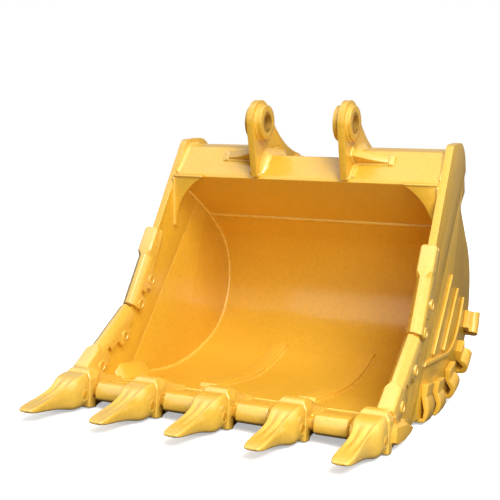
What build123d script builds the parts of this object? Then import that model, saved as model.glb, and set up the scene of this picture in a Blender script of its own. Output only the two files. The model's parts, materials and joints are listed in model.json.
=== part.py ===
from build123d import *
from math import cos, sin, tan, radians
import os

# Severe-duty rock bucket for a hydraulic excavator of about 36 tonnes. All sizes are in millimetres.
# Frame: origin on the stick-pin axis at mid-width, X along that pin, teeth towards -Y, Z up.
# Side profiles are written as (y, z) in the bucket's own attitude, with the stick pin at (0, 0).
# LEAN then stands the finished bucket on the ground.

LEAN = 5.57                     # degrees about the stick pin, sets the adapters and heel on the ground

# Overall and plate sizes
HALF_INNER = 785                # inner face of a side, measured at y = TAPER_START
TAPER = 0.86                    # degrees that each side turns inwards towards the heel
TAPER_START = -700
BAR_THICK = 40                  # side bars, along the cutting edges
SIDE_THICK = 32                 # side plates, behind the bars
SHELL_THICK = 25                # floor wrapper and back plate
SIDE_LAP = 40                   # the side plates reach this far outside the shell's inner face
FAR = 1200                      # beyond either side of the bucket

# Shell profile: lip, flat floor, slow floor arc, heel arc, straight back, upper back plate
LIP_SLOPE = 9
LIP_TOP_FRONT = (-1060, -1292)
LIP_THICK = 56
LIP_BEVEL = 16
LIP_DEPTH = 330
LIP_SETBACK = 28                # the lip's edge is this far behind the adapters' datum
FLAT_LENGTH = 824               # from the lip's front edge to the start of the floor arc
FLOOR_RADIUS = 1235
FLOOR_SWEEP = 29.5
HEEL_RADIUS = 395
HEEL_SWEEP = 118.4
BACK_RUN = 170                  # straight run from the heel arc to the back seam
BACK_HEADING = 147.2            # direction of the upper back plate, from the seam to the tube
BACK_LENGTH = 490

# Torque tube, between the sides above the back plate
TUBE_TOP_FRONT = (118, -150)
TUBE_FRONT_THICK = 25
TUBE_REAR_THICK = 20
SADDLE = [(64, -186), (352, -214)]   # top of the tube between the ears
UPSTAND_THICK = 20
TUBE_REAR_LINE = [TUBE_TOP_FRONT, (245, -138), (345, -205), (392, -360), (315, -520)]

# Side outline above the lip, and the seam that parts the side bar from the side plate
FRONT_KINK = (-520, -988)
SIDE_TOP = [FRONT_KINK, (100, -110), (370, -102), (450, -388), (347, -456)]
SIDE_TOP_RADII = [80, 60, 150, 14, 25]
BAR_SEAM = [(-722, -1518), (560, -108)]

# Wedges in the corners between the sides and the lip
CORNER_GUSSET_FOOT = 56
CORNER_GUSSET_HEIGHT = 73
CORNER_GUSSET_RUN = (400, 645)  # behind the lip's datum

# Ears
EAR_CENTRE = 263
EAR_THICK = 36
STICK_PIN = (0, 0)
LINK_PIN = (520, -308)
STICK_HEAD_RADIUS = 122
LINK_HEAD_RADIUS = 112
BOSS_RADIUS = 95
BOSS_INNER = 38                 # the bosses stand out this far on the ear's inner face
BOSS_OUTER = 25                 # and this far on its outer face
BOSS_RIM = 8                    # width and height of the weld rim round each boss
BUSH_RADIUS = 56
PIN_RADIUS = 45
BRACE_THICK = 45
BRACE_FOOT = 0.53               # where the wings stand, as a share of the way up the tube's face
BRACE_TILT = 38                 # degrees, the wings rise towards the front

# Teeth, adapters and lip shrouds
TOOTH_COUNT = 5
TOOTH_PITCH = 386
TOOTH_SLOPE = 2.85
TOOTH_WIDTH = 155
TOOTH_REAR = -14                # the tooth box's rear face, just in front of the lip's edge
NOSE_LENGTH = 215
SOCKET_GAP = 1.5
RETAINER_RADIUS = 17
RETAINER_Y = -50
# Tooth sections: y, top, bottom, half-widths at top, middle and bottom, depth of the flutes
TOOTH_ROWS = [(-14, 98, -68, 62, 76, 62, 0), (-96, 86, -70, 60, 76, 64, 0), (-140, 70, -61, 50, 68, 56, 10),
              (-200, 48, -45, 42, 56, 46, 14), (-270, 33, -33, 40, 49, 40, 8), (-350, 21, -24, 42, 47, 40, 2),
              (-405, 12, -16, 38, 42, 38, 0), (-428, 6, -10, 30, 34, 30, 0)]
LIP_SHROUD_WIDTH = 158
STRAP_X = 278
STRAP_WIDTH = 95
STRAP_THICK = 22
UNDER_STRAP_SHARE = 0.78        # the straps under the floor stand closer together than the teeth

# Side cutters: where each starts, down the edge from its kink, negative above the kink
UPPER_CUTTER = -468
LOWER_CUTTER = 44
CUTTER_NOSE = 45
CUTTER_INNER = 25
CUTTER_OUTER = 18
CUTTER_PIN_RADIUS = 15

# Heel shrouds wrap the lower corner of each side. Each has its leg's height above the shell's inner
# face, and how far its foot bulges beyond the leg.
HEEL_LENGTH = 135
HEEL_WALL = 30
HEEL_OUT = 60
HEEL_FIRST = 193                # front end of the first shroud, ahead of the floor arc
HEEL_FIRST_SHAPE = (132, 12)
HEEL_FLOOR_FITS = [(-96.4, 120, 16), (-83, 112, 24)]    # angle of the front end, leg, bulge
HEEL_ROUND_FITS = [(-71, 92, 34), (-34.5, 66, 40)]
WEAR_BAR_WIDTH = 22
WEAR_BAR_THICK = 13
WEAR_ARC = [(-419, -1161), (276, -1258), (477, -994)]
WEAR_ARC_RADIUS = 360


# ---- geometry helpers --------------------------------------------------------------------------

def heading(angle):
    return cos(radians(angle)), sin(radians(angle))


def step(point, angle, length):
    """The point reached by going `length` from `point` in direction `angle`."""
    c, s = heading(angle)
    return point[0] + length * c, point[1] + length * s


def crossing(p, angle_p, q, angle_q):
    """The point where the line through p meets the line through q."""
    a, b = heading(angle_p)
    c, d = heading(angle_q)
    t = ((q[0] - p[0]) * d - (q[1] - p[1]) * c) / (a * d - b * c)
    return p[0] + t * a, p[1] + t * b


def polygon(*points):
    return Polyline(*points, close=True)


def slab(edges, low, high):
    """The (y, z) outline filled from x = low to x = high."""
    return Pos(low, 0, 0) * extrude(Plane.YZ * make_face(edges), amount=high - low)


def plan_slab(points, low, high):
    """The (x, y) outline filled from z = low to z = high."""
    return Pos(0, 0, low) * extrude(make_face(polygon(*points)), amount=high - low)


def strip(start, angle, length, width):
    """Outline of a straight bar of the given width, centred on its line."""
    end = step(start, angle, length)
    near = [step(start, angle + 90, width / 2), step(start, angle - 90, width / 2)]
    far = [step(end, angle - 90, width / 2), step(end, angle + 90, width / 2)]
    return polygon(*near, *far)


def parallel(points, shift):
    """The corners of an open line, moved `shift` to its left."""
    runs = [Vector(*b) - Vector(*a) for a, b in zip(points, points[1:])]
    angles = [Vector(1, 0).get_signed_angle(run, Vector(0, 0, 1)) for run in runs]
    starts = [step(p, a + 90, shift) for p, a in zip(points, angles)]
    corners = [crossing(*pair) for pair in zip(starts, angles, starts[1:], angles[1:])]
    return [starts[0], *corners, step(points[-1], angles[-1] + 90, shift)]


def x_cylinder(centre, radius, low, high):
    """A cylinder along X about the (y, z) centre."""
    return slab(Pos(*centre) * CenterArc((0, 0), radius, 0, 360), low, high)


def mirrored(shape):
    return mirror(shape, about=Plane.YZ)


def on_right_side(shape):
    """Place a shape drawn with x = 0 on a side's inner face on the tapered right side."""
    return Pos(HALF_INNER, TAPER_START, 0) * Rot(0, 0, TAPER) * Pos(0, -TAPER_START, 0) * shape


def on_lip(x, slope=LIP_SLOPE):
    """Location at the lip's front edge, mid-thickness, with local -Y forwards along `slope`."""
    middle = step(LIP_TOP_FRONT, -LIP_SLOPE - 90, LIP_THICK / 2)
    return Pos(x, middle[0], middle[1]) * Rot(-slope, 0, 0)


def between_sides():
    """The space between the two tapered inner side faces."""
    front, rear = -1600, 1000
    wide = HALF_INNER - tan(radians(TAPER)) * (front - TAPER_START)
    narrow = HALF_INNER - tan(radians(TAPER)) * (rear - TAPER_START)
    return plan_slab([(-wide, front), (wide, front), (narrow, rear), (-narrow, rear)], -1800, 300)


def largest(shape):
    """The one solid left after trimming cuts a corner off a shape."""
    return max(shape.solids(), key=lambda solid: solid.volume)


# ---- shell profile -----------------------------------------------------------------------------

LIP_REAR = step(LIP_TOP_FRONT, -LIP_SLOPE, LIP_DEPTH)
FLAT_END = step(LIP_TOP_FRONT, -LIP_SLOPE, FLAT_LENGTH)
FLOOR_CENTRE = step(FLAT_END, 90 - LIP_SLOPE, FLOOR_RADIUS)
HEEL_START_HEADING = FLOOR_SWEEP - LIP_SLOPE
HEEL_END_HEADING = HEEL_START_HEADING + HEEL_SWEEP
HEEL_START = step(FLOOR_CENTRE, HEEL_START_HEADING - 90, FLOOR_RADIUS)
HEEL_CENTRE = step(HEEL_START, HEEL_START_HEADING + 90, HEEL_RADIUS)
HEEL_END = step(HEEL_CENTRE, HEEL_END_HEADING - 90, HEEL_RADIUS)
BACK_SEAM = step(HEEL_END, HEEL_END_HEADING, BACK_RUN)
BACK_TOP = step(BACK_SEAM, BACK_HEADING, BACK_LENGTH)
SEAM_OUTER = step(BACK_SEAM, HEEL_END_HEADING - 90, SHELL_THICK)
BACK_TOP_OUTER = step(BACK_TOP, BACK_HEADING - 90, SHELL_THICK)


def below_lip(point, out):
    return step(point, -LIP_SLOPE - 90, out)


def heel_end(out):
    return step(HEEL_END, HEEL_END_HEADING - 90, out)


def shell_run(out):
    """Edges along the shell from the lip's rear to the heel arc's end, `out` outside its inner face."""
    flat = Line(below_lip(LIP_REAR, out), below_lip(FLAT_END, out))
    floor = JernArc(flat @ 1, heading(-LIP_SLOPE), FLOOR_RADIUS + out, FLOOR_SWEEP)
    heel = JernArc(floor @ 1, heading(HEEL_START_HEADING), HEEL_RADIUS + out, HEEL_SWEEP)
    return flat + floor + heel


def lip_plate():
    """Cutting-edge plate across the whole width, bevelled underneath at its front edge."""
    edge = step(LIP_TOP_FRONT, -LIP_SLOPE, LIP_SETBACK)
    front_low = below_lip(edge, LIP_THICK - LIP_BEVEL)
    bevel_rear = below_lip(step(edge, -LIP_SLOPE, LIP_BEVEL), LIP_THICK)
    outline = polygon(edge, LIP_REAR, below_lip(LIP_REAR, LIP_THICK), bevel_rear, front_low)
    half = HALF_INNER + BAR_THICK
    return slab(outline, -half, half)


def floor_wrapper():
    """Floor, heel and lower back, rolled from one plate."""
    front_end = Line(LIP_REAR, below_lip(LIP_REAR, SHELL_THICK))
    inner_back = Line(heel_end(0), BACK_SEAM)
    outer_back = Line(heel_end(SHELL_THICK), SEAM_OUTER)
    ends = front_end + inner_back + outer_back + Line(BACK_SEAM, SEAM_OUTER)
    return slab(shell_run(0) + shell_run(SHELL_THICK) + ends, -FAR, FAR) & between_sides()


def back_plate():
    """Upper back, from the back seam to the torque tube's lower front edge."""
    outline = polygon(BACK_SEAM, SEAM_OUTER, BACK_TOP_OUTER, BACK_TOP)
    return slab(outline, -FAR, FAR) & between_sides()


# ---- torque tube -------------------------------------------------------------------------------

TUBE_FACE_ANGLE = (Vector(*TUBE_TOP_FRONT) - Vector(*BACK_TOP_OUTER)).get_angle(Vector(1, 0))


def between_ears():
    """The space between the ears above the saddle plate, where the stick's end swings."""
    half = EAR_CENTRE - EAR_THICK / 2
    return slab(polygon(*SADDLE, (400, 100), (-200, 100)), -half, half)


def torque_tube_front_plate():
    inner_top = step(TUBE_TOP_FRONT, TUBE_FACE_ANGLE - 90, TUBE_FRONT_THICK)
    inner_low = crossing(inner_top, TUBE_FACE_ANGLE, BACK_TOP_OUTER, BACK_HEADING)
    outline = polygon(BACK_TOP_OUTER, TUBE_TOP_FRONT, inner_top, inner_low)
    return (slab(outline, -FAR, FAR) & between_sides()) - between_ears()


def torque_tube_rear_plate():
    """Bent plate over the top and down the rear of the tube, on to the back plate."""
    inner = parallel(TUBE_REAR_LINE, -TUBE_REAR_THICK)
    body = slab(polygon(*TUBE_REAR_LINE, *reversed(inner)), -FAR, FAR) & between_sides()
    return body - torque_tube_front_plate() - back_plate() - between_ears()


def saddle_plate():
    """Lower top of the tube between the ears, with upstands that close the tube under each ear."""
    half = EAR_CENTRE - EAR_THICK / 2
    lower = parallel(SADDLE, -TUBE_REAR_THICK)
    plate = slab(polygon(*SADDLE, *reversed(lower)), -half, half)
    rim = polygon(lower[0], SADDLE[0], *TUBE_REAR_LINE[:3], (347, -214), lower[1])
    plate += slab(rim, half, half + UPSTAND_THICK) + slab(rim, -half - UPSTAND_THICK, -half)
    return largest(plate - torque_tube_front_plate() - torque_tube_rear_plate())


# ---- sides -------------------------------------------------------------------------------------

def side_outline():
    """Outline of one whole side above the lip plate and outside the shell."""
    lip_corner = step(LIP_TOP_FRONT, -LIP_SLOPE, 8)
    top = FilletPolyline(lip_corner, *SIDE_TOP, heel_end(SIDE_LAP), radius=SIDE_TOP_RADII)
    sill = Polyline(lip_corner, LIP_REAR, below_lip(LIP_REAR, SIDE_LAP))
    return top + sill + shell_run(SIDE_LAP)


def front_of_seam():
    """Everything in front of the seam between side bar and side plate."""
    return slab(polygon(*BAR_SEAM, (-1600, 400), (-1600, -1518)), -200, 200)


def side_bar():
    """Front of a side, along the cutting edge, with the cutter pins' holes."""
    body = slab(side_outline(), 0, BAR_THICK) & front_of_seam()
    for centre in cutter_pin_spots():
        body -= x_cylinder(centre, CUTTER_PIN_RADIUS, -100, 100)
    return body


def side_plate():
    return slab(side_outline(), 0, SIDE_THICK) - front_of_seam()


def side_wear_bars():
    """Two straight hard bars on the side plate, rising towards the back."""
    raised = (SIDE_THICK, SIDE_THICK + WEAR_BAR_THICK)
    first = slab(strip((-214, -1162), 42.5, 516, WEAR_BAR_WIDTH), *raised)
    second = slab(strip((10, -1195), 42.2, 418, WEAR_BAR_WIDTH), *raised)
    return first + second


def side_wear_arc():
    """Bent hard bar above the heel shrouds' upper legs."""
    inner = parallel(WEAR_ARC, WEAR_BAR_WIDTH / 2)
    outer = parallel(WEAR_ARC, -WEAR_BAR_WIDTH / 2)
    edges = FilletPolyline(*inner, radius=WEAR_ARC_RADIUS - WEAR_BAR_WIDTH / 2)
    edges += FilletPolyline(*outer, radius=WEAR_ARC_RADIUS + WEAR_BAR_WIDTH / 2)
    edges += Line(inner[0], outer[0]) + Line(inner[-1], outer[-1])
    return slab(edges, SIDE_THICK, SIDE_THICK + WEAR_BAR_THICK) - front_of_seam()


# ---- heel shrouds ------------------------------------------------------------------------------

def heel_section(leg, bulge):
    """Section of a heel shroud: x outwards from the side's inner face, y outwards from the shell."""
    skin = SIDE_THICK + HEEL_WALL
    kink = 62 - leg
    out = skin + bulge
    outer = Polyline((SIDE_THICK, -leg), (skin + 4, -leg), (skin - 4, kink))
    outer += ThreePointArc((skin - 4, kink), (out, kink / 3 + 20), (skin - 8, HEEL_OUT - 3))
    outer += Polyline((skin - 8, HEEL_OUT - 3), (24, HEEL_OUT), (-95, HEEL_OUT), (-95, SHELL_THICK))
    outer += Polyline((-95, SHELL_THICK), (0, SHELL_THICK), (0, SIDE_LAP), (46, SIDE_LAP))
    outer += Polyline((46, SIDE_LAP), (out - 24, kink / 3 + 20), (SIDE_THICK, kink - 4), (SIDE_THICK, -leg))
    return outer


def heel_shroud_straight(start, angle, leg, bulge):
    """A shroud along a straight stretch; start is on the shell's inner face."""
    place = Plane(origin=(0, *start), x_dir=(1, 0, 0), z_dir=(0, *heading(angle)))
    return extrude(place * make_face(heel_section(leg, bulge)), amount=HEEL_LENGTH)


def heel_shroud_round(centre, radius, first_angle, leg, bulge):
    """A shroud round an arc of the shell, starting at the given angle about its centre."""
    start = step(centre, first_angle, radius)
    place = Plane(origin=(0, *start), x_dir=(1, 0, 0), z_dir=(0, *heading(first_angle + 90)))
    sweep = HEEL_LENGTH / radians(1) / (radius + SIDE_LAP)
    axis = Axis((0, *centre), (1, 0, 0))
    return revolve(place * make_face(heel_section(leg, bulge)), axis=axis, revolution_arc=sweep)


def heel_shrouds():
    """The shrouds of one side, from the front to the heel."""
    start = step(FLAT_END, 180 - LIP_SLOPE, HEEL_FIRST)
    fitted = [heel_shroud_straight(start, -LIP_SLOPE, *HEEL_FIRST_SHAPE)]
    fitted += [heel_shroud_round(FLOOR_CENTRE, FLOOR_RADIUS, *fit) for fit in HEEL_FLOOR_FITS]
    fitted += [heel_shroud_round(HEEL_CENTRE, HEEL_RADIUS, *fit) for fit in HEEL_ROUND_FITS]
    return fitted


# ---- side cutters ------------------------------------------------------------------------------

LIP_CORNER = step(LIP_TOP_FRONT, -LIP_SLOPE, 8)
UPPER_EDGE_ANGLE = 180 + (Vector(*SIDE_TOP[1]) - Vector(*FRONT_KINK)).get_angle(Vector(1, 0))
LOWER_EDGE_ANGLE = 180 + (Vector(*FRONT_KINK) - Vector(*LIP_CORNER)).get_angle(Vector(1, 0))


def along_edge(angle, first, points):
    """(y, z) places of points given as distance down the edge and distance behind the nose."""
    start = step(step(FRONT_KINK, angle, first), angle - 90, CUTTER_NOSE)
    return [step(step(start, angle, s), angle + 90, r) for s, r in points]


def cutter_nose(angle, first, sections):
    """Nose in front of the edge, through (distance, outline) sections taken in turn."""
    start = step(FRONT_KINK, angle, first)
    nose = Part()
    for (near, near_outline), (far, far_outline) in zip(sections, sections[1:]):
        faces = []
        for distance, outline in ((near, near_outline), (far, far_outline)):
            origin = (0, *step(start, angle, distance))
            place = Plane(origin=origin, x_dir=(1, 0, 0), z_dir=(0, *heading(angle)))
            faces.append(place * make_face(polygon(*outline)))
        nose += loft(faces, ruled=True)
    return nose


def cutter(angle, first, sections, leg, pins):
    """Nose along the side bar's edge, with one leg on each of its faces."""
    body = cutter_nose(angle, first, sections)
    leg_outline = polygon(*along_edge(angle, first, leg))
    body += slab(leg_outline, -CUTTER_INNER, 0)
    body += slab(leg_outline, BAR_THICK, BAR_THICK + CUTTER_OUTER)
    for centre in along_edge(angle, first, pins):
        body -= x_cylinder(centre, CUTTER_PIN_RADIUS, -100, 100)
    return body


# Nose sections: x from the side's inner face, and distance out from the side bar's edge
NOSE_FULL = [(-25, 0), (-25, 37), (-17, 45), (50, 45), (58, 37), (58, 0)]
NOSE_RIDGE = [(-25, 0), (-20, 18), (2, 45), (22, 45), (52, 20), (58, 0)]
NOSE_TOP = [(-20, 0), (-20, 30), (-12, 38), (45, 38), (53, 30), (53, 0)]
UPPER_NOSE = [(0, NOSE_TOP), (14, NOSE_FULL), (146, NOSE_FULL), (178, NOSE_RIDGE), (472, NOSE_RIDGE)]
LOWER_NOSE = [(0, NOSE_RIDGE), (318, NOSE_RIDGE), (352, NOSE_FULL), (476, NOSE_FULL), (488, NOSE_TOP)]
UPPER_LEG = [(0, CUTTER_NOSE), (0, 72), (34, 92), (222, 92), (234, 138), (326, 138), (340, 92),
             (364, 92), (372, 52), (394, 52), (404, 118), (472, 104), (472, CUTTER_NOSE)]
LOWER_LEG = [(0, CUTTER_NOSE), (0, 78), (40, 92), (72, 92), (84, 142), (176, 142), (190, 92),
             (262, 92), (270, 56), (292, 56), (304, 128), (488, 128), (488, CUTTER_NOSE)]
UPPER_PINS = [(282, 104), (442, 78)]
LOWER_PINS = [(130, 108), (380, 94)]


def side_cutter_upper():
    return cutter(UPPER_EDGE_ANGLE, UPPER_CUTTER, UPPER_NOSE, UPPER_LEG, UPPER_PINS) - side_bar()


def side_cutter_lower():
    return cutter(LOWER_EDGE_ANGLE, LOWER_CUTTER, LOWER_NOSE, LOWER_LEG, LOWER_PINS) - side_bar()


def cutter_pin_spots():
    """(y, z) centres of a side's four cutter pins."""
    upper = along_edge(UPPER_EDGE_ANGLE, UPPER_CUTTER, UPPER_PINS)
    return upper + along_edge(LOWER_EDGE_ANGLE, LOWER_CUTTER, LOWER_PINS)


def side_cutter_pins():
    pins = Part()
    for centre in cutter_pin_spots():
        pins += x_cylinder(centre, CUTTER_PIN_RADIUS, -CUTTER_INNER - 3, BAR_THICK + CUTTER_OUTER + 3)
    return pins


def lip_corner_shroud():
    """Block on the side bar's outer face beside the lip's end."""
    inner = polygon((40, 62), (250, 54), (356, 8), (304, -22), (210, -38), (76, -44), (40, -30))
    outer = polygon((54, 38), (228, 28), (330, 0), (290, -20), (204, -36), (82, -42), (54, -28))
    block = loft([Plane.YZ * make_face(inner), Plane.YZ.offset(40) * make_face(outer)], ruled=True)
    return on_lip(HALF_INNER + BAR_THICK) * block


def lip_corner_gusset():
    """Wedge in the corner between the right side, the lip and the floor."""
    foot, height = CORNER_GUSSET_FOOT, CORNER_GUSSET_HEIGHT
    front, rear = CORNER_GUSSET_RUN
    near = Plane.XZ.offset(-front) * make_face(polygon((-foot, 0), (6, 0), (6, height), (0, height)))
    far = Plane.XZ.offset(-rear) * make_face(polygon((-foot, 0), (6, 0), (6, height), (0, height)))
    tip = Plane.XZ.offset(-front + 46) * make_face(polygon((-22, 0), (6, 0), (6, 30), (0, 30)))
    wedge = loft([tip, near], ruled=True) + loft([near, far], ruled=True)
    corner = Pos(HALF_INNER, *LIP_TOP_FRONT) * Rot(-LIP_SLOPE, 0, 0) * wedge
    return (corner & between_sides()) - lip_plate() - floor_wrapper()


# ---- lip: adapters, teeth and shrouds ----------------------------------------------------------

def nose(gap):
    """The adapter's tapered nose, grown by `gap`, in the tooth's own frame."""
    big = Plane.XZ.offset(0) * RectangleRounded(112 + 2 * gap, 104 + 2 * gap, 14)
    tip = Plane.XZ.offset(NOSE_LENGTH + gap) * RectangleRounded(74 + 2 * gap, 34 + 2 * gap, 10)
    return loft([big, tip])


def tooth_section(y, top, bottom, half_top, half, half_bottom, flute):
    """Cross-section of a tooth; `flute` is how deep the hollows beside its rib are."""
    low, high = (0.35 * bottom, 0.45 * top)
    right = [(half_bottom, bottom), (half, low), (half, high), (half_top, top)]
    right += [(0.55 * half_top, top - flute), (0.2 * half_top, top)]
    outline = right + [(-x, z) for x, z in reversed(right)]
    return Plane.XZ.offset(-y) * make_face(polygon(*outline))


def tooth():
    """Tip with a box socket, a ribbed and fluted top and a blunt edge, in the tooth's own frame."""
    sections = [tooth_section(*row) for row in TOOTH_ROWS]
    body = Part()
    for pair in zip(sections, sections[1:]):
        body += loft(pair, ruled=True)
    half = TOOTH_WIDTH / 2
    body += x_cylinder((RETAINER_Y, -6), 30, -half - 2, half + 2)
    return body - nose(SOCKET_GAP) - x_cylinder((RETAINER_Y, 0), RETAINER_RADIUS, -100, 100)


def adapter():
    """Collar and two legs astride the lip, in the lip's frame, with the nose in the tooth's frame."""
    top = LIP_THICK / 2
    edge = LIP_SETBACK
    side = [(TOOTH_REAR, 98), (6, 112), (40, 118), (84, 104), (200, 66), (322, top + 20), (340, top)]
    side += [(edge, top), (edge, -top), (edge + LIP_BEVEL, -top), (250, -top), (236, -top - 22)]
    side += [(60, -80), (TOOTH_REAR, -76)]
    profile = slab(polygon(*side), -TOOTH_WIDTH / 2, TOOTH_WIDTH / 2)
    plan = [(TOOTH_WIDTH / 2, TOOTH_REAR), (TOOTH_WIDTH / 2, 46), (60, 100), (46, 345)]
    plan = plan_slab(plan + [(-x, y) for x, y in reversed(plan)], -200, 200)
    front = Plane.XZ.offset(60) * make_face(polygon((-82, -120), (82, -120), (82, 60), (50, 122), (-50, 122),
                                                     (-82, 60)))
    return profile & plan & extrude(front, amount=-500)


def place_tooth_part(shape, x):
    return on_lip(x, TOOTH_SLOPE) * shape


def tooth_positions():
    middle = (TOOTH_COUNT - 1) / 2
    return [(i - middle) * TOOTH_PITCH for i in range(TOOTH_COUNT)]


def adapter_at(x):
    collar_cut = slab(polygon((TOOTH_REAR, 200), (-400, 200), (-400, -200), (TOOTH_REAR, -200)), -200, 200)
    body = on_lip(x) * adapter() - place_tooth_part(collar_cut, x)
    return body + place_tooth_part(nose(0) - x_cylinder((RETAINER_Y, 0), RETAINER_RADIUS, -100, 100), x)


def retainer_at(x):
    half = TOOTH_WIDTH / 2
    return place_tooth_part(x_cylinder((RETAINER_Y, 0), RETAINER_RADIUS, -half - 2, half + 2), x)


def lip_shroud_at(x):
    """Bull-nosed shroud on the lip between two adapters."""
    top, half, edge = LIP_THICK / 2, LIP_SHROUD_WIDTH / 2, LIP_SETBACK
    outline = [(edge, top), (edge + 150, top), (edge + 138, top + 22), (edge + 40, 58), (edge, 60), (-2, 52)]
    outline += [(-14, 34), (-20, 2), (-14, -22), (8, -36), (edge + 14, -38)]
    outline += [(edge + 84, -top - 10), (edge + 96, -top), (edge + LIP_BEVEL, -top), (edge, -top + LIP_BEVEL)]
    return on_lip(x) * slab(polygon(*outline), -half, half)


def floor_strap(x):
    """Long wear strap on the floor inside the bucket."""
    half = STRAP_WIDTH / 2
    arc_radius = FLOOR_RADIUS - STRAP_THICK
    lift = -STRAP_THICK
    flat_start = below_lip(step(LIP_REAR, -LIP_SLOPE, 120), 0)
    flat = Line(flat_start, FLAT_END)
    floor = JernArc(FLAT_END, heading(-LIP_SLOPE), FLOOR_RADIUS, FLOOR_SWEEP)
    upper_start = below_lip(step(flat_start, -LIP_SLOPE, 18), lift)
    upper_flat = Line(upper_start, below_lip(FLAT_END, lift))
    upper_floor = JernArc(upper_flat @ 1, heading(-LIP_SLOPE), arc_radius, FLOOR_SWEEP - 1)
    ends = Line(flat_start, upper_start) + Line(floor @ 1, upper_floor @ 1)
    return slab(flat + floor + upper_flat + upper_floor + ends, x - half, x + half)


def floor_wear_straps():
    """Straps welded under the floor, from behind the lip to the heel."""
    straps = Part()
    outer = SHELL_THICK + STRAP_THICK
    half = STRAP_WIDTH / 2
    for x in tooth_positions():
        flat = Line(below_lip(step(LIP_REAR, -LIP_SLOPE, 30), SHELL_THICK), below_lip(FLAT_END, SHELL_THICK))
        floor = JernArc(flat @ 1, heading(-LIP_SLOPE), FLOOR_RADIUS + SHELL_THICK, FLOOR_SWEEP - 1.5)
        low_flat = Line(below_lip(step(LIP_REAR, -LIP_SLOPE, 60), outer), below_lip(FLAT_END, outer))
        low_floor = JernArc(low_flat @ 1, heading(-LIP_SLOPE), FLOOR_RADIUS + outer, FLOOR_SWEEP - 3)
        ends = Line(flat @ 0, low_flat @ 0) + Line(floor @ 1, low_floor @ 1)
        middle = x * UNDER_STRAP_SHARE
        straps += slab(flat + floor + low_flat + low_floor + ends, middle - half, middle + half)
    return straps


# ---- ears --------------------------------------------------------------------------------------

def tube_and_shell_space():
    """The space that the torque tube, back plate and wrapper take up, for fitting the ears."""
    outline = [BACK_TOP, BACK_TOP_OUTER] + TUBE_REAR_LINE[:-1]
    outline += [crossing(TUBE_REAR_LINE[-2], -115.7, BACK_TOP_OUTER, BACK_HEADING), SEAM_OUTER]
    outline += [heel_end(SHELL_THICK), HEEL_CENTRE, (0, -900)]
    drum = x_cylinder(HEEL_CENTRE, HEEL_RADIUS + SHELL_THICK, -FAR, FAR)
    return slab(polygon(*outline), -FAR, FAR) + drum


def ear_plate():
    """One ear, centred on x = 0: two pin heads on a plate that fits over the tube and the back."""
    low, high = -EAR_THICK / 2, EAR_THICK / 2
    top = ThreePointArc((110, 52), (330, -126), (545, -199))
    rest = Polyline((545, -199), (630, -330), (584, -740), (300, -900), (0, -420), (-22, -300),
                    (-62, -300), (-119, -28), (110, 52))
    body = slab(top + rest, low, high)
    body += x_cylinder(STICK_PIN, STICK_HEAD_RADIUS, low, high)
    body += x_cylinder(LINK_PIN, LINK_HEAD_RADIUS, low, high)
    body -= tube_and_shell_space()
    for pin in (STICK_PIN, LINK_PIN):
        body -= x_cylinder(pin, BOSS_RADIUS, low, high)
    return body


def boss(pin):
    """A boss of the right-hand ear, standing out further on the inner face."""
    low, high = -EAR_THICK / 2, EAR_THICK / 2
    body = x_cylinder(pin, BOSS_RADIUS, low - BOSS_INNER, high + BOSS_OUTER)
    rim = BOSS_RADIUS + BOSS_RIM
    body += x_cylinder(pin, rim, low - BOSS_RIM, low) + x_cylinder(pin, rim, high, high + BOSS_RIM)
    return body - x_cylinder(pin, BUSH_RADIUS, -100, 100)


def bush(pin):
    low, high = -EAR_THICK / 2 - BOSS_INNER, EAR_THICK / 2 + BOSS_OUTER
    return x_cylinder(pin, BUSH_RADIUS, low, high) - x_cylinder(pin, PIN_RADIUS, low, high)


def ear_brace():
    """Thick wing on the right ear's outer face, standing off the tube's front face."""
    low, high = Vector(*BACK_TOP_OUTER), Vector(*TUBE_TOP_FRONT)
    foot = low + (high - low) * BRACE_FOOT
    plan = [(0, -75), (8, -75), (122, -30), (200, -14), (200, 90), (0, 90)]
    wing = Pos(EAR_CENTRE + EAR_THICK / 2, foot.X, foot.Y) * Rot(-BRACE_TILT, 0, 0)
    return wing * plan_slab(plan, 0, BRACE_THICK) - tube_and_shell_space()


def corner_gusset():
    """Upright plate in the right-hand corner under the tube, with a hollow free edge."""
    wall = HALF_INNER + 10
    front, rear = -62, -37
    edges = ThreePointArc((588, -313), (702, -408), (764, -602))
    edges += Polyline((764, -602), (wall, -602), (wall, -300), (588, -300), (588, -313))
    plate = Plane(origin=(0, rear, 0), x_dir=(1, 0, 0), z_dir=(0, -1, 0)) * make_face(edges)
    plate = extrude(plate, amount=rear - front)
    return (plate & between_sides()) - back_plate() - torque_tube_front_plate()


# ---- the assembly ------------------------------------------------------------------------------

def side_pairs():
    """Right-hand shapes of everything that the left side has too."""
    bar, lower = side_bar(), side_cutter_lower()
    pairs = {
        "side_bar": on_right_side(bar),
        "side_plate": on_right_side(side_plate()),
        "side_wear_bars": on_right_side(side_wear_bars()),
        "side_wear_arc": on_right_side(side_wear_arc()),
        "side_cutter_upper": on_right_side(side_cutter_upper()),
        "side_cutter_lower": on_right_side(lower) - lip_plate(),
        "lip_corner_shroud": lip_corner_shroud() - on_right_side(lower + bar) - lip_plate(),
        "corner_gusset": corner_gusset(),
        "ear_brace": ear_brace(),
        "ear": Pos(EAR_CENTRE, 0, 0) * ear_plate() - torque_tube_rear_plate() - saddle_plate(),
        "stick_pin_boss": Pos(EAR_CENTRE, 0, 0) * boss(STICK_PIN),
        "link_pin_boss": Pos(EAR_CENTRE, 0, 0) * boss(LINK_PIN),
    }
    backing = on_right_side(bar + side_plate()) + floor_wrapper()
    for number, shroud in enumerate(heel_shrouds(), 1):
        pairs["heel_shroud_" + str(number)] = on_right_side(shroud) - backing
    return pairs


def both_sides(shape):
    return shape + mirrored(shape)


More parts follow.
